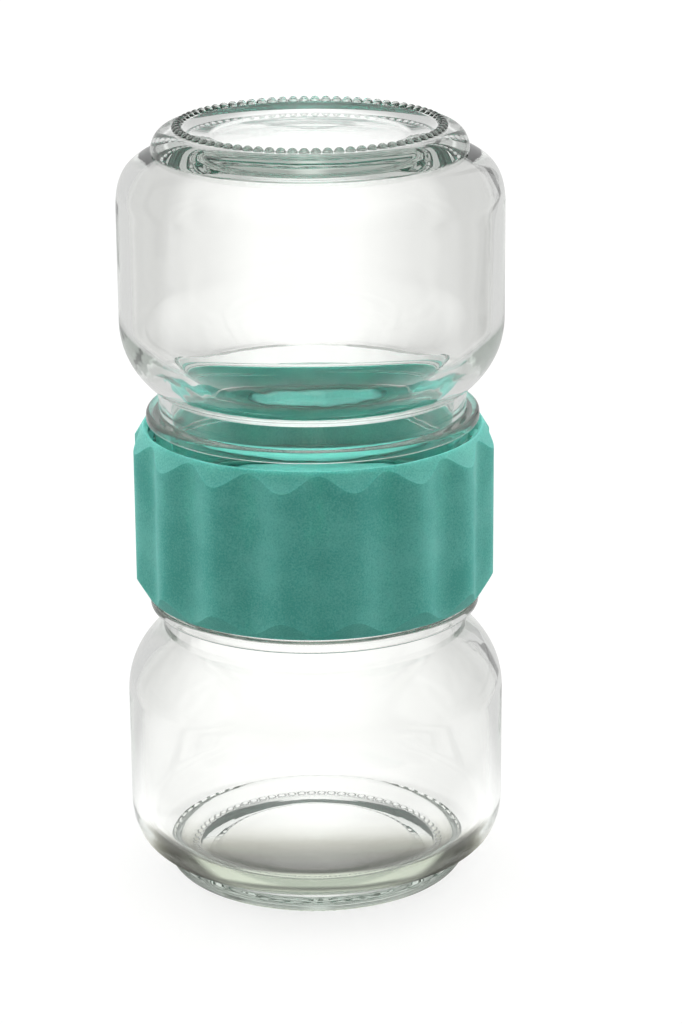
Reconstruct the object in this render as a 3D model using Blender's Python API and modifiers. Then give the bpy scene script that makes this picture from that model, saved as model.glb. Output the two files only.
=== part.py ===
"""Food storage container: two twist-off glass jars joined mouth to mouth.

A double ended coupler of moulded nylon has a closed web in its middle and a screw
socket in each face. A jar with a four start twist-off finish screws into each socket
against a flat sealing ring, so the upper jar hangs upside down over the lower one and
each jar keeps its own closed space.

Units are metres and +Z is up. The origin is the middle of the circle of beads that the
lower jar stands on. Jar profiles are (radius, height above the jar's own beads).
"""

import math

import bmesh
import bpy
from mathutils import Matrix
from mathutils.geometry import interpolate_bezier

NAME = "food_storage_container"
TURN = 2.0 * math.pi
HALF_TURN = math.pi
QUARTER_TURN = math.pi / 2.0

# Glass jar, body and shoulder
JAR_HEIGHT = 0.0704
BODY_RADIUS = 0.036
WALL = 0.0024
SHOULDER_HEIGHT = 0.0132
NECK_STEP = 0.0007
NECK_DROP = 0.0043
SHOULDER_FULLNESS_SHARE = 0.667
NECK_TIGHTNESS_SHARE = 0.012
INSIDE_NECK_DROP = 0.0011
INSIDE_FULLNESS_SHARE = 0.4
INSIDE_TIGHTNESS_SHARE = 0.083

# Glass jar, foot and floor
HEEL_HEIGHT = 0.0144
FOOT_RADIUS = 0.0294
FOOT_HEIGHT = 0.0051
FOOT_GROOVE = 0.0004
BEARING_RADIUS = 0.0245
BEARING_WIDTH = 0.0024
PUSH_UP_RAMP = 0.005
PUSH_UP_DEPTH = 0.0021
PUSH_UP_CROWN = 0.0003
FLOOR = 0.0032
FLOOR_RADIUS = 0.0225
FLOOR_FALL = 0.0008

# Knurl beads that the jar stands on
BEAD_RADIUS = 0.00098
BEAD_SPACE = 0.00012
BEAD_PROUD = 0.00068
BEAD_SIDES = 6
BEAD_BANDS = 4

# Glass finish: the threaded lip, its sizes taken from the rim down
FINISH_RADIUS = 0.0297
FINISH_HEIGHT = 0.0141
RIM_ROUND = 0.0011
TRANSFER_PROUD = 0.0017
TRANSFER_HEIGHT = 0.002
TRANSFER_ROUND = 0.0005

# Four start thread on the finish and the lugs that run under it
THREAD_STARTS = 4
THREAD_PITCH = 0.0036
THREAD_PROUD = 0.00105
THREAD_ROOT = 0.00045
THREAD_DROP = 0.0096
THREAD_SWEEP = math.radians(75.0)
THREAD_FADE_SHARE = 0.45
LUG_SWEEP = math.radians(18.0)
LUG_ROOT = 0.00035
LUG_START = math.radians(3.0)

# Coupler
WEB = 0.003
COLLAR_WALL = 0.00315
RIM_WALL = 0.00095
LEAD_IN = 0.00065
CHAMFER_HEIGHT = 0.0037
FLUTE_COUNT = 16
FLUTE_DEPTH = 0.00175
GRIP_TURN = math.radians(1.4)

# Sealing rings
SEAL_THICKNESS = 0.001
SEAL_OVERLAP = 0.0006

# Clearances
SEAT_GAP = 0.0003
SEAL_CLEARANCE = 0.0003
SOCKET_CLEARANCE = 0.00045
LUG_CLEARANCE = 0.00045
THREAD_CLEARANCE = 0.0003
RIM_GAP = 0.0011
OVERRUN = 0.001

# How finely round shapes are divided
JAR_STEPS = 36
COUPLER_STEPS = 48
SEAL_STEPS = 24
POINTS_PER_FLUTE = 6
ARC_POINTS = 4
CURVE_POINTS = 5
THREAD_POINTS = 9
LUG_POINTS = 5
TUBE_RESOLUTION = 1
MERGE_DISTANCE = 0.00001
CREASE_ANGLE = math.radians(35.0)
FLAT_ANGLE = math.radians(0.2)

# Sizes that follow from the ones above
BEAD_PITCH = 2.0 * BEAD_RADIUS + BEAD_SPACE
BEAD_COUNT = int(TURN * BEARING_RADIUS / BEAD_PITCH)
PUSH_UP_RADIUS = BEARING_RADIUS - BEARING_WIDTH / 2.0 - PUSH_UP_RAMP
NECK_RADIUS = FINISH_RADIUS - NECK_STEP
TRANSFER_RADIUS = FINISH_RADIUS + TRANSFER_PROUD
MOUTH_RADIUS = NECK_RADIUS - WALL
INNER_RADIUS = BODY_RADIUS - WALL
TRANSFER_TOP = JAR_HEIGHT - FINISH_HEIGHT
TRANSFER_BOTTOM = TRANSFER_TOP - TRANSFER_HEIGHT
NECK_LEVEL = TRANSFER_BOTTOM - NECK_DROP
SHOULDER_LEVEL = NECK_LEVEL - SHOULDER_HEIGHT
SOCKET_RADIUS = FINISH_RADIUS + THREAD_PROUD + SOCKET_CLEARANCE
CREST_RADIUS = SOCKET_RADIUS + COLLAR_WALL
MID_LEVEL = JAR_HEIGHT + SEAT_GAP + SEAL_THICKNESS + SEAT_GAP + WEB / 2.0
COUPLER_HALF = MID_LEVEL - TRANSFER_TOP - RIM_GAP
THREAD_TUBE = (THREAD_PROUD + THREAD_ROOT) / 2.0
THREAD_CENTRE = FINISH_RADIUS + THREAD_PROUD - THREAD_TUBE
THREAD_LEVEL = JAR_HEIGHT - THREAD_DROP
LUG_TIP = FINISH_RADIUS + LUG_CLEARANCE
LUG_TUBE = (SOCKET_RADIUS + LUG_ROOT - LUG_TIP) / 2.0
LUG_CENTRE = LUG_TIP + LUG_TUBE
LEAD = THREAD_PITCH * THREAD_STARTS


def clear_scene():
    """Remove every object, so the script gives the same result each run."""
    for item in list(bpy.data.objects):
        bpy.data.objects.remove(item, do_unlink=True)


def new_collection(name):
    """A collection linked to the scene."""
    collection = bpy.data.collections.new(name)
    bpy.context.scene.collection.children.link(collection)
    return collection


def new_object(name, mesh, collection):
    """An object for the mesh, in the collection."""
    item = bpy.data.objects.new(name, mesh)
    collection.objects.link(item)
    return item


def material(name, colour, roughness, transmission=0.0):
    """A plain Principled material."""
    result = bpy.data.materials.new(name)
    result.use_nodes = True
    shader = result.node_tree.nodes["Principled BSDF"]
    shader.inputs["Base Color"].default_value = (*colour, 1.0)
    shader.inputs["Roughness"].default_value = roughness
    shader.inputs["Metallic"].default_value = 0.0
    shader.inputs["Transmission Weight"].default_value = transmission
    return result


def round_stretch(start, end, rises_first, count=ARC_POINTS):
    """Quarter ellipse from start to end, both (radius, height).

    It leaves start along the axis when rises_first is true, and squarely to it otherwise.
    """
    points = []
    for step in range(count + 1):
        angle = QUARTER_TURN * step / count
        early, late = math.sin(angle), 1.0 - math.cos(angle)
        along_radius, along_axis = (late, early) if rises_first else (early, late)
        radius = start[0] + (end[0] - start[0]) * along_radius
        height = start[1] + (end[1] - start[1]) * along_axis
        points.append((radius, height))
    return points


def shoulder(body, neck, fullness_share, tightness_share):
    """Shoulder curve from the top of the straight body to the neck, both (radius, height)."""
    full = SHOULDER_HEIGHT * fullness_share
    tight = SHOULDER_HEIGHT * tightness_share
    curve = interpolate_bezier(
        body,
        (body[0], body[1] + full),
        (neck[0], neck[1] - tight),
        neck,
        CURVE_POINTS + 1,
    )
    return [(point[0], point[1]) for point in curve]


def jar_inside():
    """Inner side of the jar from the middle of its floor up to the rim.

    The glass is thicker where the shoulder runs into the neck.
    """
    floor_level = PUSH_UP_DEPTH + PUSH_UP_CROWN + FLOOR
    points = [(0.0, floor_level), (PUSH_UP_RADIUS, floor_level)]
    heel_start = (FLOOR_RADIUS, floor_level - FLOOR_FALL)
    heel_end = (INNER_RADIUS, HEEL_HEIGHT + WALL)
    points += round_stretch(heel_start, heel_end, rises_first=False, count=CURVE_POINTS)
    points += shoulder(
        (INNER_RADIUS, SHOULDER_LEVEL),
        (MOUTH_RADIUS, NECK_LEVEL - INSIDE_NECK_DROP),
        INSIDE_FULLNESS_SHARE,
        INSIDE_TIGHTNESS_SHARE,
    )
    rim_low = (MOUTH_RADIUS, JAR_HEIGHT - RIM_ROUND)
    rim_top = (MOUTH_RADIUS + RIM_ROUND, JAR_HEIGHT)
    points += round_stretch(rim_low, rim_top, rises_first=True, count=ARC_POINTS - 1)
    return points


def jar_lip():
    """Outer side of the jar from its rim down to the neck, with the transfer ring."""
    rim_top = (FINISH_RADIUS - RIM_ROUND, JAR_HEIGHT)
    rim_low = (FINISH_RADIUS, JAR_HEIGHT - RIM_ROUND)
    points = round_stretch(rim_top, rim_low, rises_first=False, count=ARC_POINTS - 1)
    inset = TRANSFER_RADIUS - TRANSFER_ROUND
    points += [
        (FINISH_RADIUS, TRANSFER_TOP),
        (inset, TRANSFER_TOP),
        (TRANSFER_RADIUS, TRANSFER_TOP - TRANSFER_ROUND),
        (TRANSFER_RADIUS, TRANSFER_BOTTOM + TRANSFER_ROUND),
        (inset, TRANSFER_BOTTOM),
        (NECK_RADIUS, TRANSFER_BOTTOM),
    ]
    return points


def jar_outside():
    """Outer side of the jar from its neck down to the middle of its base."""
    body, neck = (BODY_RADIUS, SHOULDER_LEVEL), (NECK_RADIUS, NECK_LEVEL)
    curve = shoulder(body, neck, SHOULDER_FULLNESS_SHARE, NECK_TIGHTNESS_SHARE)
    points = list(reversed(curve))
    groove = (FOOT_RADIUS - FOOT_GROOVE, FOOT_HEIGHT + FOOT_GROOVE)
    heel_top = (BODY_RADIUS, HEEL_HEIGHT)
    points += round_stretch(heel_top, groove, rises_first=True, count=CURVE_POINTS)
    bearing_edge = (BEARING_RADIUS + BEARING_WIDTH / 2.0, BEAD_PROUD)
    points += round_stretch((FOOT_RADIUS, FOOT_HEIGHT), bearing_edge, rises_first=True)
    points += [
        (BEARING_RADIUS - BEARING_WIDTH / 2.0, BEAD_PROUD),
        (PUSH_UP_RADIUS, PUSH_UP_DEPTH),
        (0.0, PUSH_UP_DEPTH + PUSH_UP_CROWN),
    ]
    return points


def tidy_profile(points):
    """The points without neighbours that lie on each other."""
    kept = [points[0]]
    for point in points[1:]:
        if math.dist(point, kept[-1]) > MERGE_DISTANCE:
            kept.append(point)
    return kept


def turned(name, points, steps, collection, closed=False):
    """Turn a profile about +Z with a Screw modifier.

    The profile runs down the outer side of the shape. It starts and ends on the axis,
    or is closed into a ring.
    """
    points = tidy_profile(points)
    edges = [(index, index + 1) for index in range(len(points) - 1)]
    if closed:
        edges.append((len(points) - 1, 0))
    mesh = bpy.data.meshes.new(name)
    mesh.from_pydata([(radius, 0.0, height) for radius, height in points], edges, [])
    item = new_object(name, mesh, collection)
    screw = item.modifiers.new("turn", "SCREW")
    screw.axis = "Z"
    screw.angle = TURN
    screw.steps = steps
    screw.render_steps = steps
    screw.use_merge_vertices = True
    screw.merge_threshold = MERGE_DISTANCE
    screw.use_smooth_shade = True
    return item


def evaluated_mesh(item):
    """A copy of the object's mesh with its modifiers applied and its doubles merged."""
    graph = bpy.context.evaluated_depsgraph_get()
    mesh = bpy.data.meshes.new_from_object(item.evaluated_get(graph))
    shape = bmesh.new()
    shape.from_mesh(mesh)
    bmesh.ops.remove_doubles(shape, verts=shape.verts, dist=MERGE_DISTANCE)
    shape.to_mesh(mesh)
    shape.free()
    return mesh


def helical_beads(name, radius, tube, level, start, sweep, points, fade_share, collection):
    """One round bead for each thread start, climbing the thread's helix, as one mesh."""
    curve = bpy.data.curves.new(name, "CURVE")
    curve.dimensions = "3D"
    curve.bevel_depth = tube
    curve.bevel_resolution = TUBE_RESOLUTION
    curve.use_fill_caps = True
    for index in range(THREAD_STARTS):
        first = start + TURN * index / THREAD_STARTS
        spline = curve.splines.new("POLY")
        spline.points.add(points - 1)
        for step, point in enumerate(spline.points):
            along = step / (points - 1)
            angle = first + sweep * along
            height = level + LEAD * sweep * along / TURN
            point.co = (radius * math.cos(angle), radius * math.sin(angle), height, 1.0)
            at_end = step in (0, points - 1)
            point.radius = fade_share if at_end else 1.0
    guide = new_object(name + "_curve", curve, collection)
    mesh = evaluated_mesh(guide)
    bpy.data.objects.remove(guide, do_unlink=True)
    return new_object(name, mesh, collection)


def as_cutter(item):
    """Show the object as a guide only."""
    item.hide_render = True
    item.display_type = "WIRE"


def combine(item, tool, operation):
    """Boolean the tool into the object."""
    as_cutter(tool)
    boolean = item.modifiers.new(tool.name, "BOOLEAN")
    boolean.operation = operation
    boolean.solver = "EXACT"
    boolean.object = tool


def merge_flats(item):
    """Join the coplanar faces that a Boolean leaves on a flat."""
    decimate = item.modifiers.new("flats", "DECIMATE")
    decimate.decimate_type = "DISSOLVE"
    decimate.angle_limit = FLAT_ANGLE


def knurl_beads(name, collection):
    """Ring of flat bottomed beads under the foot, as one mesh of separate bodies."""
    shape = bmesh.new()
    flat_level = BEAD_RADIUS * math.cos(HALF_TURN / BEAD_BANDS)
    for index in range(BEAD_COUNT):
        angle = TURN * index / BEAD_COUNT
        offset = (BEARING_RADIUS * math.cos(angle), BEARING_RADIUS * math.sin(angle), flat_level)
        place = Matrix.Translation(offset) @ Matrix.Rotation(angle, 4, "Z")
        bead = bmesh.ops.create_uvsphere(
            shape,
            u_segments=BEAD_SIDES,
            v_segments=BEAD_BANDS,
            radius=BEAD_RADIUS,
            matrix=place,
        )
        pole = min(bead["verts"], key=lambda vertex: vertex.co.z)
        bmesh.ops.dissolve_verts(shape, verts=[pole])
    mesh = bpy.data.meshes.new(name)
    shape.to_mesh(mesh)
    shape.free()
    return new_object(name, mesh, collection)


def make_jar(name, tools):
    """Glass jar standing on its beads, with its thread and knurl joined on."""
    profile = jar_inside() + jar_lip() + jar_outside()
    jar = turned(name, profile, JAR_STEPS, tools)
    thread = helical_beads(
        name + "_thread",
        THREAD_CENTRE,
        THREAD_TUBE,
        THREAD_LEVEL,
        0.0,
        THREAD_SWEEP,
        THREAD_POINTS,
        THREAD_FADE_SHARE,
        tools,
    )
    combine(jar, thread, "UNION")
    combine(jar, knurl_beads(name + "_knurl", tools), "UNION")
    merge_flats(jar)
    mesh = evaluated_mesh(jar)
    bpy.data.objects.remove(jar, do_unlink=True)
    return mesh


def socket_side():
    """Section of the coupler's upper half from the web's middle out to its chamfer."""
    slope = (CREST_RADIUS - SOCKET_RADIUS - RIM_WALL) / CHAMFER_HEIGHT
    beyond = OVERRUN / slope
    return [
        (0.0, WEB / 2.0),
        (SOCKET_RADIUS, WEB / 2.0),
        (SOCKET_RADIUS, COUPLER_HALF - LEAD_IN),
        (SOCKET_RADIUS + LEAD_IN, COUPLER_HALF),
        (SOCKET_RADIUS + RIM_WALL, COUPLER_HALF),
        (CREST_RADIUS + OVERRUN, COUPLER_HALF - CHAMFER_HEIGHT - beyond),
    ]


def fluted_bar(name, collection):
    """Bar whose outline is the grip's wave, a little taller than the coupler."""
    count = FLUTE_COUNT * POINTS_PER_FLUTE
    mean = CREST_RADIUS - FLUTE_DEPTH / 2.0
    curve = bpy.data.curves.new(name, "CURVE")
    curve.dimensions = "2D"
    curve.fill_mode = "BOTH"
    curve.extrude = COUPLER_HALF + OVERRUN
    spline = curve.splines.new("POLY")
    spline.points.add(count - 1)
    spline.use_cyclic_u = True
    for index, point in enumerate(spline.points):
        angle = TURN * index / count
        radius = mean - FLUTE_DEPTH / 2.0 * math.cos(FLUTE_COUNT * angle)
        point.co = (radius * math.cos(angle), radius * math.sin(angle), 0.0, 1.0)
    guide = new_object(name + "_curve", curve, collection)
    mesh = evaluated_mesh(guide)
    bpy.data.objects.remove(guide, do_unlink=True)
    mesh.transform(Matrix.Rotation(GRIP_TURN, 4, "Z"))
    return new_object(name, mesh, collection)


def lug_drop():
    """Height from a thread bead's centre down to the centre of the lug under it."""
    between = THREAD_TUBE + LUG_TUBE + THREAD_CLEARANCE
    across = LUG_CENTRE - THREAD_CENTRE
    return math.sqrt(between**2 - across**2)


def make_coupler(name, tools):
    """Double socket with a fluted, chamfered grip, its web centred on the origin."""
    upper_half = socket_side()
    lower_half = [(radius, -height) for radius, height in reversed(upper_half)]
    blank = turned(name, upper_half + lower_half, COUPLER_STEPS, tools)
    combine(blank, fluted_bar("grip_outline", tools), "INTERSECT")
    start_level = THREAD_LEVEL + LEAD * LUG_START / TURN
    lugs = helical_beads(
        "lower_lugs",
        LUG_CENTRE,
        LUG_TUBE,
        start_level - lug_drop() - MID_LEVEL,
        LUG_START,
        LUG_SWEEP,
        LUG_POINTS,
        THREAD_FADE_SHARE,
        tools,
    )
    flipped = lugs.data.copy()
    flipped.transform(Matrix.Rotation(HALF_TURN, 4, "X"))
    combine(blank, lugs, "UNION")
    combine(blank, new_object("upper_lugs", flipped, tools), "UNION")
    merge_flats(blank)
    mesh = evaluated_mesh(blank)
    bpy.data.objects.remove(blank, do_unlink=True)
    return mesh


def make_seal(name, tools):
    """Flat sealing ring, its lower face at zero."""
    inner = MOUTH_RADIUS - SEAL_OVERLAP
    outer = SOCKET_RADIUS - SEAL_CLEARANCE
    profile = [(inner, SEAL_THICKNESS), (outer, SEAL_THICKNESS), (outer, 0.0), (inner, 0.0)]
    ring = turned(name, profile, SEAL_STEPS, tools, closed=True)
    mesh = evaluated_mesh(ring)
    bpy.data.objects.remove(ring, do_unlink=True)
    return mesh


def place(name, mesh, finish, level, collection, flipped=False):
    """Put a piece on the shared axis, upside down where flipped is true."""
    mesh.materials.clear()
    mesh.materials.append(finish)
    mesh.shade_smooth()
    mesh.set_sharp_from_angle(angle=CREASE_ANGLE)
    item = new_object(name, mesh, collection)
    item.location = (0.0, 0.0, level)
    if flipped:
        item.rotation_euler = (HALF_TURN, 0.0, 0.0)
    return item


def main():
    """Build the five pieces, from the table up."""
    clear_scene()
    pieces = new_collection(NAME)
    tools = new_collection("cutters")

    jar = make_jar("jar", tools)
    coupler = make_coupler("coupler_blank", tools)
    seal = make_seal("seal", tools)

    clear_glass = (0.93, 0.96, 0.94)
    teal = (0.095, 0.42, 0.35)
    clear_rubber = (0.82, 0.84, 0.82)
    seal_level = JAR_HEIGHT + SEAT_GAP
    top_level = MID_LEVEL * 2.0

    place("lower_jar", jar, material("lower_jar_glass", clear_glass, 0.03, 1.0), 0.0, pieces)
    lower_finish = material("lower_seal_rubber", clear_rubber, 0.5)
    place("lower_seal", seal, lower_finish, seal_level, pieces)
    place("coupler", coupler, material("coupler_nylon", teal, 0.6), MID_LEVEL, pieces)
    upper_finish = material("upper_seal_rubber", clear_rubber, 0.5)
    place("upper_seal", seal.copy(), upper_finish, top_level - seal_level, pieces, flipped=True)
    upper_glass = material("upper_jar_glass", clear_glass, 0.03, 1.0)
    place("upper_jar", jar.copy(), upper_glass, top_level, pieces, flipped=True)


main()
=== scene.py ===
"""Looks of a food storage container: two glass jars screwed into one double ended coupler.

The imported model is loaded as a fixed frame. Both jars, the coupler and the sealing rings are
modelled again here with fine curves, pressed beads and moulded edges, and stand for the CAD
nodes of the same place. Units are metres and +Z is up.
"""

import logging
import math
from collections.abc import Callable, Sequence
from dataclasses import dataclass
from enum import Enum
from typing import NamedTuple

import bpy
from mathutils import Matrix, Vector
from mathutils.geometry import interpolate_bezier


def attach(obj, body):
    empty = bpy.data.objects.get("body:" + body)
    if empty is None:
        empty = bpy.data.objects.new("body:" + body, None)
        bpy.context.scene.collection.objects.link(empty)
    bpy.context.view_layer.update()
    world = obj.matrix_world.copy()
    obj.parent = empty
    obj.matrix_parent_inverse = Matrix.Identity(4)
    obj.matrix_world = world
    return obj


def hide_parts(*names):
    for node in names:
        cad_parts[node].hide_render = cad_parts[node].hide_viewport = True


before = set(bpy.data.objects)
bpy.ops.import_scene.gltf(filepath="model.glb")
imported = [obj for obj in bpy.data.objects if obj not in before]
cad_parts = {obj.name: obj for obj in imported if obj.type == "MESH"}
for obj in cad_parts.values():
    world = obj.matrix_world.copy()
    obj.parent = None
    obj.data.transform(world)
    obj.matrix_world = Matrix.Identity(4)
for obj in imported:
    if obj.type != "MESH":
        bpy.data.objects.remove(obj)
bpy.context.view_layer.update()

LOG = logging.getLogger("food_storage_container")
MM = 0.001
TURN = 2.0 * math.pi
HALF_TURN = math.pi
QUARTER_TURN = math.pi / 2.0
MERGE = 0.002 * MM
LEAST_TURN = 0.02
FILLET_SHARE = 0.45
ARC_STEP = math.radians(14.0)


class Point(NamedTuple):
    """A point of a turned profile, in metres."""

    radius: float
    height: float


class Corner(NamedTuple):
    """A corner of a turned profile and the radius that rounds it, in metres."""

    radius: float
    height: float
    fillet: float = 0.0


class Leaves(Enum):
    """The way a quarter ellipse leaves its start."""

    ALONG_AXIS = "along the axis"
    SQUARE_TO_AXIS = "squarely to the axis"


class Course(Enum):
    """The way a value goes from one level to another."""

    SOFT = "SMOOTHSTEP"
    STRAIGHT = "LINEAR"


# Materials


def linear(hex_colour: str) -> tuple[float, float, float, float]:
    """Turn an sRGB hex colour into linear RGBA.

    Args:
        hex_colour: six hex digits after a hash.

    Returns:
        The colour as a shader reads it, with full alpha.
    """
    channels = [int(hex_colour[place : place + 2], 16) / 255.0 for place in (1, 3, 5)]
    lit = [c / 12.92 if c <= 0.04045 else ((c + 0.055) / 1.055) ** 2.4 for c in channels]
    return (lit[0], lit[1], lit[2], 1.0)


def add_node(
    tree: bpy.types.NodeTree,
    kind: str,
    inputs: dict[int | str, object] | None = None,
    **settings: object,
) -> bpy.types.Node:
    """Add a node with its settings, socket values and incoming links.

    Args:
        tree: the node tree it goes into.
        kind: the node's type name, without ShaderNode in front.
        inputs: what its input sockets get, by name or place. An output socket is linked and
            anything else is set as the value.
        settings: attributes of the node.

    Returns:
        The new node.
    """
    node = tree.nodes.new("ShaderNode" + kind)
    for name, value in settings.items():
        setattr(node, name, value)
    for socket, given in (inputs or {}).items():
        if isinstance(given, bpy.types.NodeSocket):
            tree.links.new(given, node.inputs[socket])
        else:
            node.inputs[socket].default_value = given
    return node


def blank_material(
    name: str,
) -> tuple[bpy.types.Material, bpy.types.NodeTree, bpy.types.NodeSocket]:
    """Make a material whose node tree is empty.

    Args:
        name: the material's name.

    Returns:
        The material, its node tree, and the place on the piece for its patterns.
    """
    made = bpy.data.materials.new(name)
    made.use_nodes = True
    made.node_tree.nodes.clear()
    place = add_node(made.node_tree, "TexCoord").outputs["Object"]
    return made, made.node_tree, place


@dataclass(frozen=True)
class Fade:
    """A value that goes from one level to another between two places."""

    start: float
    end: float
    low: float = 0.0
    high: float = 1.0
    course: Course = Course.SOFT

    def over(
        self,
        tree: bpy.types.NodeTree,
        place: bpy.types.NodeSocket,
        low: bpy.types.NodeSocket | None = None,
    ) -> bpy.types.NodeSocket:
        """Work the value out at a place.

        Args:
            tree: the node tree it goes into.
            place: the place that start and end are measured on.
            low: a level at the start that varies, in place of the fixed one.

        Returns:
            A socket with the value.
        """
        inputs = {
            "Value": place,
            "From Min": self.start,
            "From Max": self.end,
            "To Min": self.low if low is None else low,
            "To Max": self.high,
        }
        node = add_node(tree, "MapRange", inputs, interpolation_type=self.course.value)
        return node.outputs["Result"]


@dataclass(frozen=True)
class Unevenness:
    """Waves, grains or clouds in a surface: the width of one and the depth of them all."""

    size: float
    depth: float = 0.0
    detail: float = 1.0
    roughness: float = 0.4

    def amount(
        self, tree: bpy.types.NodeTree, place: bpy.types.NodeSocket
    ) -> bpy.types.NodeSocket:
        """Find how strong it is at a place.

        Args:
            tree: the material's node tree.
            place: the place on the piece.

        Returns:
            The strength, from 0 to 1.
        """
        inputs = {
            "Vector": place,
            "Scale": 1.0 / self.size,
            "Detail": self.detail,
            "Roughness": self.roughness,
        }
        return add_node(tree, "TexNoise", inputs).outputs["Fac"]


@dataclass(frozen=True)
class PressedGlass:
    """Clear soda-lime glass, pressed and blown in an iron mould, with a bright fire finish.

    The slow waves of the wall bend what is behind it a little, the neck is rippled more
    where the mould pinched it, and thick glass looks faintly green. One material serves the
    whole jar, because a depth of colour needs the one closed body.
    """

    tint: str = "#fefefd"
    ior: float = 1.52
    roughness: float = 0.0
    settled: Unevenness = Unevenness(16.0 * MM, 0.085 * MM, roughness=0.35)
    pinched: Unevenness = Unevenness(4.5 * MM, 0.04 * MM)
    skin: Unevenness = Unevenness(3.5 * MM, 0.006 * MM)
    neck_middle: float = 73.5 * MM
    neck_reach: Fade = Fade(26.0 * MM, 38.0 * MM, low=1.0, high=0.0)
    depth_tint: str = "#7c9c84"
    depth_density: float = 12.0

    def make(self, name: str) -> bpy.types.Material:
        """Build the material.

        Args:
            name: the material's name.

        Returns:
            The glass, which bends light unevenly where the wall settled in the mould.
        """
        made, tree, place = blank_material(name)
        reliefs = (
            (self.settled.amount(tree, place), self.settled.depth),
            (self._neck_ripple(tree, place), self.pinched.depth),
            (self.skin.amount(tree, place), self.skin.depth),
        )
        surface = {}
        for height, depth in reliefs:
            inputs = {"Strength": 1.0, "Distance": depth, "Height": height, **surface}
            surface = {"Normal": add_node(tree, "Bump", inputs).outputs["Normal"]}
        glass = {
            "Base Color": linear(self.tint),
            "Roughness": self.roughness,
            "IOR": self.ior,
            "Transmission Weight": 1.0,
            **surface,
        }
        shader = add_node(tree, "BsdfPrincipled", glass).outputs["BSDF"]
        green = {"Color": linear(self.depth_tint), "Density": self.depth_density}
        thick = add_node(tree, "VolumeAbsorption", green).outputs["Volume"]
        add_node(tree, "OutputMaterial", {"Surface": shader, "Volume": thick})
        return made

    def _neck_ripple(
        self, tree: bpy.types.NodeTree, place: bpy.types.NodeSocket
    ) -> bpy.types.NodeSocket:
        """Find the height of the waves that the neck mould pinched into both shoulders.

        Args:
            tree: the glass's node tree.
            place: the place on the jar.

        Returns:
            The height, from 0 to 1.
        """
        level = add_node(tree, "SeparateXYZ", {0: place}).outputs["Z"]
        off = {0: level, 1: self.neck_middle}
        off = {0: add_node(tree, "Math", off, operation="SUBTRACT").outputs[0]}
        away = add_node(tree, "Math", off, operation="ABSOLUTE").outputs[0]
        both = {0: self.pinched.amount(tree, place), 1: self.neck_reach.over(tree, away)}
        return add_node(tree, "Math", both, operation="MULTIPLY").outputs[0]


@dataclass(frozen=True)
class DyedNylon:
    """Sintered nylon, dyed teal: matte and dry, with a grain of fine powder and cloudy dye.

    Light gets a little way into it, so edges look soft. Its grains are drawn about twice as
    wide as real powder, so that they show.
    """

    deep: str = "#59b6aa"
    fair: str = "#78cec2"
    grain: Unevenness = Unevenness(0.32 * MM, 0.02 * MM, detail=2.0, roughness=0.6)
    cloud: Unevenness = Unevenness(11.0 * MM, detail=3.0, roughness=0.5)
    cloud_share: float = 0.5
    spread: Fade = Fade(0.40, 0.60, course=Course.STRAIGHT)
    roughness: float = 0.62
    ior: float = 1.5
    gloss: float = 0.35
    glow: float = 1.0
    glow_reach: float = 2.5 * MM
    glow_colours: tuple[float, float, float] = (0.7, 1.0, 0.95)

    def make(self, name: str) -> bpy.types.Material:
        """Build the material.

        Args:
            name: the material's name.

        Returns:
            The nylon, uneven in its dye.
        """
        made, tree, place = blank_material(name)
        grain, cloud = self.grain.amount(tree, place), self.cloud.amount(tree, place)
        both = {0: self.cloud_share, 2: grain, 3: cloud}
        blend = add_node(tree, "Mix", both, data_type="FLOAT").outputs[0]
        dye = {0: self.spread.over(tree, blend), 6: linear(self.deep), 7: linear(self.fair)}
        relief = {"Strength": 1.0, "Distance": self.grain.depth, "Height": grain}
        nylon = {
            "Base Color": add_node(tree, "Mix", dye, data_type="RGBA").outputs[2],
            "Normal": add_node(tree, "Bump", relief).outputs["Normal"],
            "Roughness": self.roughness,
            "IOR": self.ior,
            "Specular IOR Level": self.gloss,
            "Subsurface Weight": self.glow,
            "Subsurface Radius": self.glow_colours,
            "Subsurface Scale": self.glow_reach,
        }
        shader = add_node(tree, "BsdfPrincipled", nylon).outputs["BSDF"]
        add_node(tree, "OutputMaterial", {"Surface": shader})
        return made


@dataclass(frozen=True)
class SealRubber:
    """Teal silicone rubber, moulded flat: soft, slightly clear and satin."""

    colour: str = "#4e9a8b"
    shade: str = "#3f8878"
    roughness: float = 0.42
    ior: float = 1.41
    clearness: float = 0.25
    mottle: Unevenness = Unevenness(2.5 * MM, detail=2.0, roughness=0.5)

    def make(self, name: str) -> bpy.types.Material:
        """Build the material.

        Args:
            name: the material's name.

        Returns:
            The rubber, a little uneven in its depth of colour.
        """
        made, tree, place = blank_material(name)
        mottle = self.mottle.amount(tree, place)
        tones = {0: mottle, 6: linear(self.shade), 7: linear(self.colour)}
        rubber = {
            "Base Color": add_node(tree, "Mix", tones, data_type="RGBA").outputs[2],
            "Roughness": self.roughness,
            "IOR": self.ior,
            "Transmission Weight": self.clearness,
        }
        shader = add_node(tree, "BsdfPrincipled", rubber).outputs["BSDF"]
        add_node(tree, "OutputMaterial", {"Surface": shader})
        return made


# Profiles


def quarter_ellipse(start: Point, end: Point, leaves: Leaves, count: int) -> list[Corner]:
    """Points of a quarter ellipse.

    Args:
        start: its first point.
        end: its last point.
        leaves: the way it leaves the start.
        count: how many steps it is divided into.

    Returns:
        The points, with both ends.
    """
    points = []
    for step in range(count + 1):
        angle = QUARTER_TURN * step / count
        early, late = math.sin(angle), 1.0 - math.cos(angle)
        across, along = (late, early) if leaves is Leaves.ALONG_AXIS else (early, late)
        points.append(
            Corner(
                start.radius + (end.radius - start.radius) * across,
                start.height + (end.height - start.height) * along,
            )
        )
    return points


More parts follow.
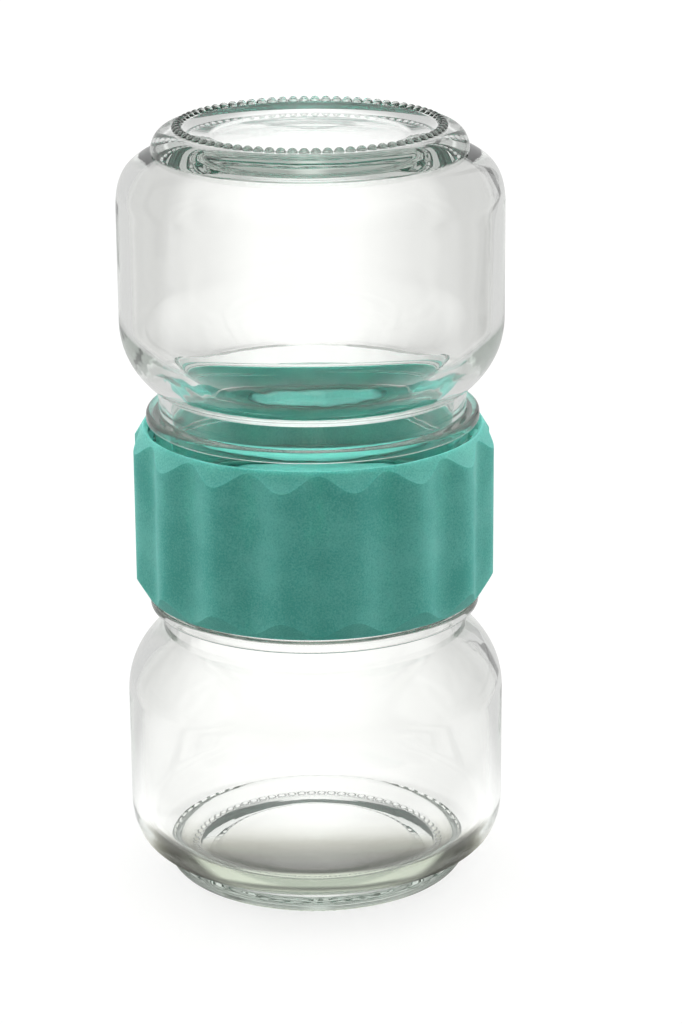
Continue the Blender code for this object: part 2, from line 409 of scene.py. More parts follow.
def swept_curve(
    start: Point, first: Point, second: Point, end: Point, count: int
) -> list[Corner]:
    """Points of a Bezier curve.

    Args:
        start: its first point.
        first: the point that it leaves towards.
        second: the point that it arrives from.
        end: its last point.
        count: how many points it has.

    Returns:
        The points, with both ends.
    """
    curve = interpolate_bezier(start, first, second, end, count)
    return [Corner(point[0], point[1]) for point in curve]


def round_corner(before: Vector, here: Vector, after: Vector, fillet: float) -> list[Vector]:
    """Points of the arc that rounds one corner.

    Args:
        before: the corner before it.
        here: the corner.
        after: the corner after it.
        fillet: the arc's radius.

    Returns:
        The arc's points, or the corner itself where there is nothing to round.
    """
    back, on = (before - here), (after - here)
    turn = HALF_TURN - back.angle(on)
    if fillet <= 0.0 or turn < LEAST_TURN:
        return [here]
    most = FILLET_SHARE * min(back.length, on.length)
    reach = min(fillet * math.tan(turn / 2.0), most)
    first, last = here + back.normalized() * reach, here + on.normalized() * reach
    count = max(3, math.ceil(turn / ARC_STEP))
    arc = []
    for step in range(count + 1):
        share = step / count
        one = first.lerp(here, share)
        other = here.lerp(last, share)
        arc.append(one.lerp(other, share))
    return arc


def smooth_profile(corners: Sequence[Corner], spacing: float) -> list[Vector]:
    """Round a profile's corners and divide its long straights.

    Args:
        corners: the profile's corners in order, each with its fillet.
        spacing: the longest distance that stays between neighbours.

    Returns:
        The points in the XZ plane.
    """
    flat = [Vector((corner.radius, 0.0, corner.height)) for corner in corners]
    rounded = [flat[0]]
    for index in range(1, len(flat) - 1):
        before, here, after = flat[index - 1 : index + 2]
        rounded += round_corner(before, here, after, corners[index].fillet)
    rounded.append(flat[-1])
    points = [rounded[0]]
    for there in rounded[1:]:
        here = points[-1]
        length = (there - here).length
        if length < MERGE:
            continue
        pieces = max(1, math.ceil(length / spacing))
        points += [here.lerp(there, step / pieces) for step in range(1, pieces + 1)]
    return points


# Modelling by hand


def start_fresh() -> None:
    """Leave edit mode and deselect everything."""
    if bpy.context.object is not None and bpy.context.object.mode != "OBJECT":
        bpy.ops.object.mode_set(mode="OBJECT")
    bpy.ops.object.select_all(action="DESELECT")


def make_active(item: bpy.types.Object) -> None:
    """Select one object alone and make it active.

    Args:
        item: the object.
    """
    start_fresh()
    item.select_set(True)
    bpy.context.view_layer.objects.active = item


def apply_place(item: bpy.types.Object) -> None:
    """Put an object's place and turn into its mesh."""
    make_active(item)
    bpy.ops.object.transform_apply(location=True, rotation=True, scale=True)


def trace(name: str, points: Sequence[Vector]) -> bpy.types.Object:
    """Extrude one vertex along a row of points and stay in edit mode with all selected.

    Args:
        name: the object's name.
        points: the points in order.

    Returns:
        The object, which holds the traced line.
    """
    start_fresh()
    bpy.ops.mesh.primitive_plane_add(size=MM, location=points[0])
    item = bpy.context.object
    item.name = item.data.name = name
    bpy.ops.object.transform_apply(location=True, rotation=False, scale=False)
    bpy.ops.object.mode_set(mode="EDIT")
    bpy.ops.mesh.select_mode(type="VERT")
    bpy.ops.mesh.select_all(action="SELECT")
    bpy.ops.mesh.merge(type="CENTER")
    for here, there in zip(points, points[1:]):
        bpy.ops.mesh.extrude_vertices_move(TRANSFORM_OT_translate={"value": there - here})
    bpy.ops.mesh.select_all(action="SELECT")
    return item


def close_up() -> None:
    """Merge the doubles of the object in edit mode, turn its faces outwards and leave."""
    bpy.ops.mesh.select_all(action="SELECT")
    bpy.ops.mesh.remove_doubles(threshold=MERGE)
    bpy.ops.mesh.normals_make_consistent(inside=False)
    bpy.ops.object.mode_set(mode="OBJECT")


def turned(name: str, points: Sequence[Vector], steps: int) -> bpy.types.Object:
    """Spin a profile round the Z axis into a closed shape.

    Args:
        name: the object's name.
        points: the profile, whose ends lie on the axis or on each other.
        steps: how many steps the full turn has.

    Returns:
        The turned object.
    """
    item = trace(name, points)
    bpy.ops.mesh.spin(steps=steps, angle=TURN, center=(0.0, 0.0, 0.0), axis=(0.0, 0.0, 1.0))
    close_up()
    return item


def apply_modifier(item: bpy.types.Object, name: str) -> None:
    """Apply one modifier of an object."""
    make_active(item)
    bpy.ops.object.modifier_apply(modifier=name)


def combine(item: bpy.types.Object, tool: bpy.types.Object, operation: str) -> None:
    """Boolean a tool into an object and delete the tool.

    Args:
        item: the object that stays.
        tool: the object that is joined in or cut with.
        operation: UNION, INTERSECT or DIFFERENCE.
    """
    boolean = item.modifiers.new("boolean", "BOOLEAN")
    boolean.operation = operation
    boolean.solver = "EXACT"
    boolean.object = tool
    apply_modifier(item, boolean.name)
    bpy.data.objects.remove(tool, do_unlink=True)


def ring_of_copies(item: bpy.types.Object, count: int) -> bpy.types.Object:
    """Copy an object round the Z axis and join the copies, each made with its own mesh.

    Args:
        item: the object that is repeated.
        count: how many there are in all.

    Returns:
        One object that holds them all.
    """
    copies = [item]
    for index in range(1, count):
        make_active(item)
        bpy.ops.object.duplicate()
        copy = bpy.context.object
        copy.rotation_euler = (0.0, 0.0, TURN * index / count)
        apply_place(copy)
        copies.append(copy)
    make_active(item)
    for copy in copies:
        copy.select_set(True)
    bpy.ops.object.join()
    return item


def shade(item: bpy.types.Object, crease: float) -> None:
    """Shade an object smooth, with edges sharper than the crease left hard."""
    make_active(item)
    bpy.ops.object.shade_smooth_by_angle(angle=crease)


@dataclass(frozen=True)
class HelicalBead:
    """A round bead that climbs a helix, repeated for each start of a screw."""

    starts: int
    lead: float
    radius: float
    tube: float
    level: float
    first: float
    sweep: float
    steps: int
    sides: int = 12
    end_share: float = 0.45
    fade_share: float = 0.125

    def build(self, name: str) -> bpy.types.Object:
        """Draw one bead's section along the helix, cap it and repeat it.

        Args:
            name: the object's name.

        Returns:
            All beads as one object.
        """
        start_fresh()
        bpy.ops.mesh.primitive_circle_add(
            vertices=self.sides,
            radius=self.tube * self.end_share,
            location=(self.radius, 0.0, self.level),
            rotation=(QUARTER_TURN, 0.0, 0.0),
            fill_type="NGON",
        )
        item = bpy.context.object
        item.name = item.data.name = name
        apply_place(item)
        bpy.ops.object.mode_set(mode="EDIT")
        bpy.ops.mesh.select_all(action="SELECT")
        turn, climb = self.sweep / self.steps, self.lead * self.sweep / self.steps / TURN
        for step in range(self.steps):
            self._next_section(step, turn, climb)
        close_up()
        item.rotation_euler = (0.0, 0.0, self.first)
        apply_place(item)
        return ring_of_copies(item, self.starts)

    def _next_section(self, step: int, turn: float, climb: float) -> None:
        """Extrude the selected section one step on, swelling or fading near the ends.

        Args:
            step: which step it is, from 0.
            turn: the turn of one step.
            climb: the rise of one step.
        """
        bpy.ops.mesh.extrude_region_move(TRANSFORM_OT_translate={"value": (0.0, 0.0, climb)})
        bpy.ops.transform.rotate(
            value=-turn,
            orient_axis="Z",
            orient_type="GLOBAL",
            center_override=(0.0, 0.0, 0.0),
        )
        fade = max(1, int(self.steps * self.fade_share))
        growth = (1.0 / self.end_share) ** (1.0 / fade)
        if step < fade:
            factor = growth
        elif step >= self.steps - fade:
            factor = 1.0 / growth
        else:
            return
        angle = turn * (step + 1)
        centre = (
            self.radius * math.cos(angle),
            self.radius * math.sin(angle),
            self.level + climb * (step + 1),
        )
        bpy.ops.transform.resize(value=(factor, factor, factor), center_override=centre)


# Sub-assemblies


@dataclass
class Jar:
    """Squat glass jar with a twist-off finish, standing on a ring of pressed beads."""

    height: float = 70.4 * MM
    body_radius: float = 36.0 * MM
    wall: float = 2.4 * MM
    shoulder_height: float = 13.2 * MM
    neck_radius: float = 29.0 * MM
    neck_drop: float = 4.3 * MM
    neck_fillet: float = 0.4 * MM
    shoulder_fullness_share: float = 0.667
    neck_tightness_share: float = 0.012
    inside_neck_drop: float = 1.1 * MM
    inside_fullness_share: float = 0.4
    inside_tightness_share: float = 0.083
    heel_height: float = 16.0 * MM
    heel_drop: float = 4.75 * MM
    heel_reach: float = 6.4 * MM
    heel_slope: float = math.radians(13.8)
    inside_heel_height: float = 14.75 * MM
    inside_heel_drop: float = 6.85 * MM
    inside_heel_reach: float = 2.6 * MM
    foot_radius: float = 29.4 * MM
    foot_height: float = 5.1 * MM
    foot_groove: float = 0.4 * MM
    bearing_radius: float = 24.5 * MM
    bearing_width: float = 2.4 * MM
    push_up_radius: float = 18.3 * MM
    push_up_depth: float = 2.1 * MM
    push_up_crown: float = 0.3 * MM
    push_up_round: float = 4.0 * MM
    bearing_round: float = 0.8 * MM
    floor: float = 3.2 * MM
    floor_round: float = 6.0 * MM
    floor_radius: float = 22.5 * MM
    floor_fall: float = 0.25 * MM
    bead_count: int = 74
    bead_radius: float = 0.98 * MM
    bead_proud: float = 0.87 * MM
    bead_sides: int = 14
    bead_bands: int = 8
    finish_radius: float = 29.7 * MM
    finish_height: float = 14.1 * MM
    rim_round: float = 1.1 * MM
    transfer_radius: float = 31.4 * MM
    transfer_height: float = 2.0 * MM
    transfer_round: float = 0.5 * MM
    transfer_low_round: float = 1.0 * MM
    transfer_seat_round: float = 0.4 * MM
    thread_starts: int = 4
    thread_pitch: float = 3.6 * MM
    thread_proud: float = 1.05 * MM
    thread_root: float = 0.45 * MM
    thread_drop: float = 9.6 * MM
    thread_sweep: float = math.radians(75.0)
    thread_steps: int = 32
    steps: int = 192
    spacing: float = 1.0 * MM
    shoulder_points: int = 28
    heel_points: int = 24
    foot_steps: int = 12
    rim_steps: int = 6
    crease: float = math.radians(34.0)
    finish: PressedGlass = PressedGlass()

    @property
    def transfer_top(self) -> float:
        """Level of the transfer ring's upper edge."""
        return self.height - self.finish_height

    @property
    def neck_level(self) -> float:
        """Level where the straight neck under the transfer ring runs into the shoulder."""
        return self.transfer_top - self.transfer_height - self.neck_drop

    @property
    def shoulder_level(self) -> float:
        """Level where the straight body ends and the shoulder starts."""
        return self.neck_level - self.shoulder_height

    @property
    def floor_level(self) -> float:
        """Level of the middle of the jar's inner floor."""
        return self.push_up_depth + self.push_up_crown + self.floor

    def shoulder(
        self, body: Point, neck: Point, fullness: float, tightness: float
    ) -> list[Corner]:
        """Shoulder curve from the body up to the neck.

        Args:
            body: the top of the straight body.
            neck: the foot of the straight neck.
            fullness: how far it keeps on straight up from the body, as a share of its height.
            tightness: how far it runs up straight before the neck, as a share of its height.

        Returns:
            The curve's points, with both ends.
        """
        full = Point(body.radius, body.height + self.shoulder_height * fullness)
        tight = Point(neck.radius, neck.height - self.shoulder_height * tightness)
        return swept_curve(body, full, tight, neck, self.shoulder_points)

    def inside(self) -> list[Corner]:
        """Profile of the jar's inner side, from the middle of its floor to the rim.

        The glass is thicker where the shoulder runs into the neck. Seen from above through
        that thick part, the socket's back wall and the web fold into closed rings.
        """
        inner, mouth = self.body_radius - self.wall, self.neck_radius - self.wall
        low = self.floor_level - self.floor_fall
        heel_start = Point(self.floor_radius, low)
        heel_end = Point(inner, self.inside_heel_height)
        flat = Point(self.floor_radius + self.inside_heel_reach, low)
        upright = Point(inner, self.inside_heel_height - self.inside_heel_drop)
        rim_low = Point(mouth, self.height - self.rim_round)
        rim_top = Point(mouth + self.rim_round, self.height)
        return [
            Corner(0.0, self.floor_level),
            Corner(self.push_up_radius, self.floor_level, self.floor_round),
            Corner(heel_start.radius, heel_start.height, self.floor_round),
            *swept_curve(heel_start, flat, upright, heel_end, self.heel_points)[1:],
            *self.shoulder(
                Point(inner, self.shoulder_level),
                Point(mouth, self.neck_level - self.inside_neck_drop),
                self.inside_fullness_share,
                self.inside_tightness_share,
            ),
            *quarter_ellipse(rim_low, rim_top, Leaves.ALONG_AXIS, self.rim_steps),
        ]

    def lip(self) -> list[Corner]:
        """Profile of the finish from the rim down to the underside of the transfer ring."""
        rim_top = Point(self.finish_radius - self.rim_round, self.height)
        rim_low = Point(self.finish_radius, self.height - self.rim_round)
        low = self.transfer_top - self.transfer_height
        return [
            *quarter_ellipse(rim_top, rim_low, Leaves.SQUARE_TO_AXIS, self.rim_steps),
            Corner(self.finish_radius, self.transfer_top, self.transfer_seat_round),
            Corner(self.transfer_radius, self.transfer_top, self.transfer_round),
            Corner(self.transfer_radius, low, self.transfer_low_round),
            Corner(self.neck_radius, low, self.neck_fillet),
        ]

    def outside(self) -> list[Corner]:
        """Profile of the body from the neck down to the middle of the base."""
        groove = Point(self.foot_radius - self.foot_groove, self.foot_height + self.foot_groove)
        heel_top = Point(self.body_radius, self.heel_height)
        foot = Point(self.foot_radius, self.foot_height)
        upright = Point(self.body_radius, self.heel_height - self.heel_drop)
        lean = Point(
            groove.radius + self.heel_reach * math.cos(self.heel_slope),
            groove.height + self.heel_reach * math.sin(self.heel_slope),
        )
        bearing_outer = Point(self.bearing_radius + self.bearing_width / 2.0, self.bead_proud)
        bearing_inner = self.bearing_radius - self.bearing_width / 2.0
        shoulder = self.shoulder(
            Point(self.body_radius, self.shoulder_level),
            Point(self.neck_radius, self.neck_level),
            self.shoulder_fullness_share,
            self.neck_tightness_share,
        )
        return [
            *reversed(shoulder),
            *swept_curve(heel_top, upright, lean, groove, self.heel_points),
            *quarter_ellipse(foot, bearing_outer, Leaves.ALONG_AXIS, self.foot_steps),
            Corner(bearing_inner, self.bead_proud, self.bearing_round),
            Corner(self.push_up_radius, self.push_up_depth, self.push_up_round),
            Corner(0.0, self.push_up_depth + self.push_up_crown),
        ]

    def shell(self) -> bpy.types.Object:
        """Turn the jar's wall and floor."""
        corners = [*self.inside(), *self.lip(), *self.outside()]
        item = turned("jar", smooth_profile(corners, self.spacing), self.steps)
        item.data.materials.append(self.finish.make("pressed_soda_lime_glass"))
        return item

    def knurl(self) -> bpy.types.Object:
        """Ring of round beads that the jar stands on."""
        start_fresh()
        bpy.ops.mesh.primitive_uv_sphere_add(
            segments=self.bead_sides,
            ring_count=self.bead_bands,
            radius=self.bead_radius,
            location=(self.bearing_radius, 0.0, self.bead_radius),
        )
        bead = bpy.context.object
        bead.name = "bead"
        apply_place(bead)
        return ring_of_copies(bead, self.bead_count)

    def thread(self) -> bpy.types.Object:
        """Four start thread on the finish."""
        tube = (self.thread_proud + self.thread_root) / 2.0
        helix = HelicalBead(
            starts=self.thread_starts,
            lead=self.thread_pitch * self.thread_starts,
            radius=self.finish_radius + self.thread_proud - tube,
            tube=tube,
            level=self.height - self.thread_drop,
            first=0.0,
            sweep=self.thread_sweep,
            steps=self.thread_steps,
        )
        return helix.build("thread")

    def build(self) -> bpy.types.Object:
        """Model the whole jar, standing upright on the origin.

        Returns:
            One closed glass object.
        """
        jar = self.shell()
        combine(jar, self.knurl(), "UNION")
        combine(jar, self.thread(), "UNION")
        shade(jar, self.crease)
        return jar


@dataclass
class Coupler:
    """Double ended screw socket with a closed web and a fluted, chamfered grip."""

    middle: float = 73.5 * MM
    half_height: float = 16.1 * MM
    socket_radius: float = 31.2 * MM
    crest_radius: float = 34.35 * MM
    rim_wall: float = 0.95 * MM
    lead_in: float = 0.65 * MM
    chamfer_height: float = 3.7 * MM
    web: float = 3.0 * MM
    flute_count: int = 16
    flute_depth: float = 1.75 * MM
    grip_turn: float = math.radians(1.4)
    points_per_flute: int = 24
    web_round: float = 0.5 * MM
    lead_in_round: float = 0.2 * MM
    rim_round: float = 0.12 * MM
    edge_round: float = 0.22 * MM
    edge_segments: int = 3
    edge_angle: float = math.radians(24.0)
    overrun: float = 1.0 * MM
    spacing: float = 2.0 * MM
    lug_centre: float = 30.85 * MM
    lug_tube: float = 0.7 * MM
    lug_level: float = 59.144 * MM
    lug_start: float = math.radians(3.0)
    lug_sweep: float = math.radians(18.0)
    lug_steps: int = 12
    lead: float = 14.4 * MM
    starts: int = 4
    crease: float = math.radians(22.0)
    finish: DyedNylon = DyedNylon()

    def section(self) -> list[Corner]:
        """Section of the upper half from the web's middle out past its chamfer."""
        face = self.web / 2.0
        top = self.half_height
        slope = (self.crest_radius - self.socket_radius - self.rim_wall) / self.chamfer_height
        beyond = self.overrun / slope
        return [
            Corner(0.0, face),
            Corner(self.socket_radius, face, self.web_round),
            Corner(self.socket_radius, top - self.lead_in, self.lead_in_round),
            Corner(self.socket_radius + self.lead_in, top, self.rim_round),
            Corner(self.socket_radius + self.rim_wall, top, self.rim_round),
            Corner(self.crest_radius + self.overrun, top - self.chamfer_height - beyond),
        ]

    def blank(self) -> bpy.types.Object:
        """Turn the coupler's body, which is still round and a little too wide."""
        upper = self.section()
        lower = [Corner(c.radius, -c.height, c.fillet) for c in reversed(upper)]
        points = smooth_profile([*upper, *lower], self.spacing)
        return turned("coupler_nylon", points, self.flute_count * self.points_per_flute)

    def grip_bar(self) -> bpy.types.Object:
        """Bar whose outline is the wave of the flutes."""
        count = self.flute_count * self.points_per_flute
        mean = self.crest_radius - self.flute_depth / 2.0
        bottom = -self.half_height - self.overrun
        points = []
        for index in range(count + 1):
            angle = TURN * index / count
            radius = mean - self.flute_depth / 2.0 * math.cos(self.flute_count * angle)
            points.append(Vector((radius * math.cos(angle), radius * math.sin(angle), bottom)))
        item = trace("grip_bar", points)
        bpy.ops.mesh.remove_doubles(threshold=MERGE)
        bpy.ops.mesh.edge_face_add()
        rise = 2.0 * (self.half_height + self.overrun)
        bpy.ops.mesh.extrude_region_move(TRANSFORM_OT_translate={"value": (0.0, 0.0, rise)})
        close_up()
        return item

    def lugs(self) -> bpy.types.Object:
        """Four lugs of the lower socket, in their place above the table."""
        helix = HelicalBead(
            starts=self.starts,
            lead=self.lead,
            radius=self.lug_centre,
            tube=self.lug_tube,
            level=self.lug_level,
            first=self.lug_start,
            sweep=self.lug_sweep,
            steps=self.lug_steps,
        )
        return helix.build("lower_lugs")

    def build(self) -> bpy.types.Object:
        """Model the coupler in its place between the jars.

        Returns:
            One nylon object.
        """
        coupler = self.blank()
        combine(coupler, self.grip_bar(), "INTERSECT")
        bevel = coupler.modifiers.new("edges", "BEVEL")
        bevel.width = self.edge_round
        bevel.segments = self.edge_segments
        bevel.limit_method = "ANGLE"
        bevel.angle_limit = self.edge_angle
        apply_modifier(coupler, bevel.name)
        coupler.rotation_euler = (0.0, 0.0, self.grip_turn)
        coupler.location = (0.0, 0.0, self.middle)
        apply_place(coupler)
        lower = self.lugs()
        make_active(lower)
        bpy.ops.object.duplicate()
        upper = turn_over(bpy.context.object, self.middle)
        combine(coupler, lower, "UNION")
        combine(coupler, upper, "UNION")
        coupler.data.materials.append(self.finish.make("dyed_sintered_nylon"))
        shade(coupler, self.crease)
        return coupler


@dataclass
class Seal:
    """Flat sealing ring between a jar's rim and the coupler's web."""

    inner_radius: float = 26.0 * MM
    outer_radius: float = 30.9 * MM
    level: float = 70.7 * MM
    thickness: float = 1.0 * MM
    edge_round: float = 0.3 * MM
    steps: int = 96
    spacing: float = 1.2 * MM
    crease: float = math.radians(40.0)
    finish: SealRubber = SealRubber()

    def build(self) -> bpy.types.Object:
        """Model the lower ring in its place.

        Returns:
            One closed ring.
        """
        inner, outer = self.inner_radius, self.outer_radius
        low, high = self.level, self.level + self.thickness
        middle = (inner + outer) / 2.0
        edge = self.edge_round
        corners = [
            Corner(middle, high),
            Corner(outer, high, edge),
            Corner(outer, low, edge),
            Corner(inner, low, edge),
            Corner(inner, high, edge),
            Corner(middle, high),
        ]
        ring = turned("lower_seal_ring", smooth_profile(corners, self.spacing), self.steps)
        ring.data.materials.append(self.finish.make("teal_silicone"))
        shade(ring, self.crease)
        return ring


def turn_over(item: bpy.types.Object, middle: float) -> bpy.types.Object:
    """Turn an object upside down about a level line along X, and apply its place.

    Args:
        item: the object to turn.
        middle: the height of the line it turns about.

    Returns:
        The same object.
    """
    item.rotation_euler = (HALF_TURN, 0.0, 0.0)
    item.location = (0.0, 0.0, 2.0 * middle)
    apply_place(item)
    return item


def settle(item: bpy.types.Object, name: str, body: str) -> None:
    """Name a finished piece and tie it to the CAD body and node that it stands for.

    Args:
        item: the finished piece.
        name: its name.
        body: the CAD body it moves with, which is also the CAD node it replaces.
    """
    item.name = item.data.name = name
    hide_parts(body)
    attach(item, body)
    LOG.info("%s: %d faces, rides on %s", name, len(item.data.polygons), body)


def second_one(item: bpy.types.Object, middle: float) -> bpy.types.Object:
    """Copy a lower piece, with its own mesh, into the upper place.

    Args:
        item: the lower piece.
        middle: the height of the coupler's middle.

    Returns:
        The upper piece.
    """
    make_active(item)
    bpy.ops.object.duplicate()
    return turn_over(bpy.context.object, middle)


# Studio


@dataclass
class Studio:
    """White sweep lit from behind and above, and the camera of the photograph.

    Glass shows a backdrop that is brightest straight behind the object and greyer to both
    sides, as the lit backdrop was. The same holds from all four sides. What lies behind glass
    gets more of the light, which the round jar gathers. Fades over a direction run from -1 to
    1, and those over a ray's kind from 0 to 1.
    """

    floor_size: float = 8.0
    distance: float = 600.0 * MM
    camera_height: float = 264.99 * MM
    pitch: float = math.radians(17.864)
    yaw: float = math.radians(0.494)
    roll: float = math.radians(-0.451)
    lens: float = 116.49
    film_width: float = 36.0
    clip: tuple[float, float] = (0.01, 50.0)
    bounces: int = 32
    light_back: Fade = Fade(-0.6, 0.15, low=0.03, high=1.6)
    light_top: Fade = Fade(0.35, 0.8, high=1.35)
    shown_back: Fade = Fade(-0.6, 0.15, low=0.3)
    shown_top: Fade = Fade(0.35, 0.8, high=0.9)
    gathered: Fade = Fade(0.0, 1.0, low=1.0, high=3.0, course=Course.STRAIGHT)
    floor_albedo: str = "#8e8e8c"
    floor_own_light: float = 0.27
    floor_bounce: float = 0.42
    floor_share: Fade = Fade(0.0, 1.0, low=1.0, high=0.3, course=Course.STRAIGHT)
    # Painted shade on the floor, seen only through glass: in front of the base, under the base,
    # and a painted shadow arc under the front of the foot.
    floor_front: Fade = Fade(-200.0 * MM, -30.0 * MM, low=0.4)
    shade_reach: Fade = Fade(40.0 * MM, 60.0 * MM)
    under_base: tuple[tuple[float, str], ...] = (
        (-34.0 * MM, "#a8b2a2"),
        (-29.5 * MM, "#a8b2a2"),
        (-28.0 * MM, "#ccd4c2"),
        (-22.5 * MM, "#ccd4c2"),
        (-18.5 * MM, "#2e2e24"),
        (-9.0 * MM, "#34342a"),
        (-3.0 * MM, "#5a5a4e"),
        (3.0 * MM, "#9c9c90"),
        (8.0 * MM, "#dcdcd6"),
        (13.0 * MM, "#f6f6f4"),
        (18.0 * MM, "#ffffff"),
    )
    foot_shade: float = 28.7 * MM
    foot_shade_edge: Fade = Fade(0.0, 1.7 * MM)
    foot_shade_level: Fade = Fade(-20.0 * MM, -8.0 * MM, low=0.22, course=Course.STRAIGHT)
    strip_middle: float = 0.48
    strip_edge: Fade = Fade(0.054, 0.09, low=0.3)
    strip_start: Fade = Fade(50.0 * MM, 150.0 * MM, low=1.0, high=0.0)
    pool_middle: float = -3.75 * MM
    pool_edge: Fade = Fade(12.0 * MM, 50.0 * MM, low=1.2, high=0.7, course=Course.STRAIGHT)

    def camera(self) -> None:
        """Set the camera up at the photograph's viewing angle."""
        bpy.ops.object.camera_add()
        camera = bpy.context.object
        camera.name = "camera"
        camera.data.lens = self.lens
        camera.data.sensor_width = self.film_width
        camera.data.clip_start, camera.data.clip_end = self.clip
        turn = (
            Matrix.Rotation(-self.yaw, 4, "Z")
            @ Matrix.Rotation(QUARTER_TURN - self.pitch, 4, "X")
            @ Matrix.Rotation(self.roll, 4, "Z")
        )
        camera.matrix_world = Matrix.Translation((0.0, -self.distance, self.camera_height)) @ turn
        bpy.context.scene.camera = camera

    def seen_through(
        self, tree: bpy.types.NodeTree, path: bpy.types.bpy_prop_collection
    ) -> bpy.types.NodeSocket:
        """Whether a ray came from the camera by glass or gloss alone, and so sees the backdrop.

        Args:
            tree: the node tree of the floor or the world.
            path: the outputs of its Light Path node.

        Returns:
            A socket with 1 for such rays and 0 for those that light a matte surface.
        """
        kinds = {0: path["Is Transmission Ray"], 1: path["Is Glossy Ray"]}
        bent = add_node(tree, "Math", kinds, operation="MAXIMUM").outputs[0]
        scattered = {0: path["Diffuse Depth"], 1: 0.5}
        unscattered = add_node(tree, "Math", scattered, operation="LESS_THAN").outputs[0]
        return add_node(tree, "Math", {0: bent, 1: unscattered}, operation="MULTIPLY").outputs[0]

    def pool(
        self, tree: bpy.types.NodeTree, way: bpy.types.NodeSocket, near: float
    ) -> bpy.types.NodeSocket:
        """Brightness of the backdrop as glass shows it: a bright middle and one dark strip.

        Args:
            tree: the node tree of the floor or the world.
            way: a point on the floor in metres, or a direction.
            near: the distance that is added to the depth: the camera's for a point, none for
                a direction.

        Returns:
            A socket with the brightness.
        """
        axes = add_node(tree, "SeparateXYZ", {0: way}).outputs
        shift = {0: axes["X"], 1: self.pool_middle if near else 0.0}
        moved = add_node(tree, "Math", shift, operation="SUBTRACT").outputs[0]
        across = add_node(tree, "Math", {0: moved}, operation="ABSOLUTE").outputs[0]
        along = add_node(tree, "Math", {0: axes["Y"]}, operation="ABSOLUTE").outputs[0]
        both = {0: across, 1: along}
        side = add_node(tree, "Math", both, operation="MINIMUM").outputs[0]
        far = add_node(tree, "Math", both, operation="MAXIMUM").outputs[0]
        depth = add_node(tree, "Math", {0: far, 1: near}, operation="ADD").outputs[0]
        spread = add_node(tree, "Math", {0: side, 1: depth}, operation="DIVIDE").outputs[0]
        level = {0: spread, 1: self.distance}
        offset = add_node(tree, "Math", level, operation="MULTIPLY").outputs[0]
        ahead = add_node(tree, "Math", {0: axes["Y"], 1: near}, operation="ADD").outputs[0]
        slant = add_node(tree, "Math", {0: axes["X"], 1: ahead}, operation="DIVIDE").outputs[0]
        strip = {0: slant, 1: self.strip_middle}
        strip = {0: add_node(tree, "Math", strip, operation="SUBTRACT").outputs[0]}
        strip = {0: add_node(tree, "Math", strip, operation="ABSOLUTE").outputs[0]}
        strip[1] = self.strip_start.over(tree, axes["Y"])
        off = add_node(tree, "Math", strip, operation="ADD").outputs[0]
        shown = {0: self.pool_edge.over(tree, offset), 1: self.strip_edge.over(tree, off)}
        return add_node(tree, "Math", shown, operation="MULTIPLY").outputs[0]

    def base_shade(
        self, tree: bpy.types.NodeTree, along: bpy.types.NodeSocket
    ) -> bpy.types.NodeSocket:
        """Colour the shade under the base, from the front of the base to its back.

        Args:
            tree: the floor's node tree.
            along: how far back the place is.

        Returns:
            The colour.
        """
        front, back = self.under_base[0][0], self.under_base[-1][0]
        place = Fade(front, back, course=Course.STRAIGHT).over(tree, along)
        ramp = add_node(tree, "ValToRGB", {0: place})
        stops = ramp.color_ramp.elements
        while len(stops) < len(self.under_base):
            stops.new(0.5)
        for stop, (level, shade_colour) in zip(stops, self.under_base):
            stop.position = (level - front) / (back - front)
            stop.color = linear(shade_colour)
        return ramp.outputs["Color"]

    def under(
        self, tree: bpy.types.NodeTree, place: bpy.types.NodeSocket
    ) -> bpy.types.NodeSocket:
        """Colour of the floor as glass shows it: in shade under the base and in front of it.

        Args:
            tree: the floor's node tree.
            place: the place on the floor.

        Returns:
            A socket with the colour.
        """
        along = add_node(tree, "SeparateXYZ", {0: place}).outputs["Y"]
        reach = add_node(tree, "VectorMath", {0: place}, operation="LENGTH").outputs["Value"]
        off = {0: reach, 1: self.foot_shade}
        off = {0: add_node(tree, "Math", off, operation="SUBTRACT").outputs[0]}
        off = add_node(tree, "Math", off, operation="ABSOLUTE").outputs[0]
        level = self.foot_shade_level.over(tree, along)
        shade_share = self.foot_shade_edge.over(tree, off, low=level)
        scaled = {0: self.base_shade(tree, along), "Scale": shade_share}
        shaded = add_node(tree, "VectorMath", scaled, operation="SCALE").outputs["Vector"]
        tones = {
            0: self.shade_reach.over(tree, reach),
            6: shaded,
            7: self.floor_front.over(tree, along),
        }
        return add_node(tree, "Mix", tones, data_type="RGBA").outputs[2]

